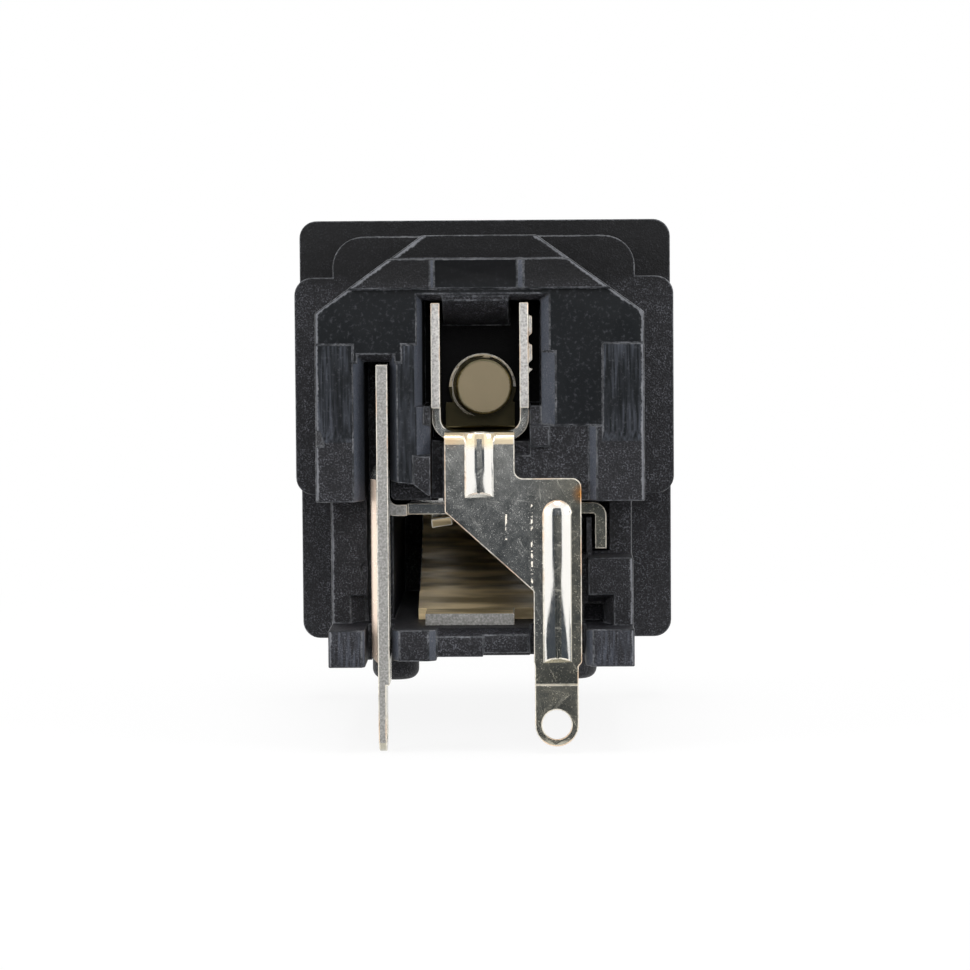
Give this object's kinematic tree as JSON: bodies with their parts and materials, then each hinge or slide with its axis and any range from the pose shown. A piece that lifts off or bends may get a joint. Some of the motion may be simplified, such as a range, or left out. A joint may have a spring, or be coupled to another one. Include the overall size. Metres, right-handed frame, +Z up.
{
  "type": "dc barrel jack",
  "caption": "Right-angle DC power jack for a circuit board: black moulded body with a double flange, a centre pin, a sprung sleeve contact and two solder tails.",
  "frame": {"origin": "on the board plane, under the flat of the housing, midway between the two locating pegs", "axes": "+Z up from the board, +Y along the plug's axis towards the mouth, +X to the right as seen from the solder side"},
  "size_m": [0.0114, 0.0136, 0.0147],
  "materials": {
    "black_moulding": "spark-eroded texture, black, pale along worn edges",
    "pin_metal": "turned brass, dull nickel plate",
    "plated_sheet": "nickel-plated brass sheet, finely scratched"
  },
  "bodies": {
    "root": {"housing": "black_moulding", "centre_pin": "pin_metal", "pin_terminal": "plated_sheet", "sleeve_terminal": "plated_sheet"}
  },
  "joints": []
}
